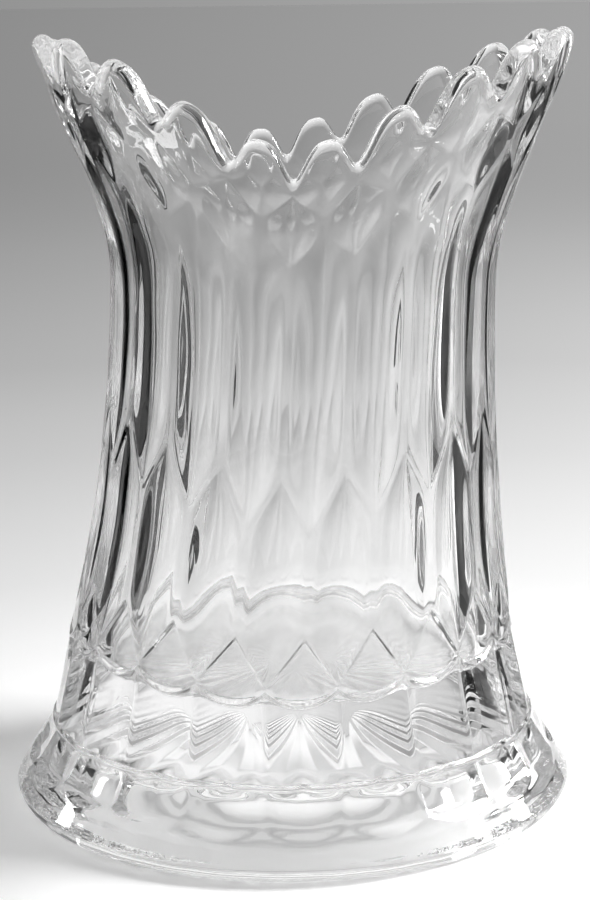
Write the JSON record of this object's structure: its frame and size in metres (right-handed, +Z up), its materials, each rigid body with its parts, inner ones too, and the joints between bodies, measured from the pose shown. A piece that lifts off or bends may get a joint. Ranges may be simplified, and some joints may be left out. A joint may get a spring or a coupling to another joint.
{
  "type": "swung vase",
  "caption": "Clear pressed-glass vase with a thick flared foot, a hollow drawn-out body of stretched honeycomb cells and a scalloped rim that rises into two wings; holds cut flowers.",
  "frame": {"origin": "on the table at the centre of the foot's bearing ring", "axes": "+Z up along the vase, X across the two raised wings of the rim, -Y towards the front dip of the rim"},
  "size_m": [0.12, 0.12, 0.1614],
  "materials": {
    "clear_glass": "fire-polished clear pressed glass"
  },
  "bodies": {
    "root": {"foot": "clear_glass", "body": "clear_glass"}
  },
  "joints": []
}
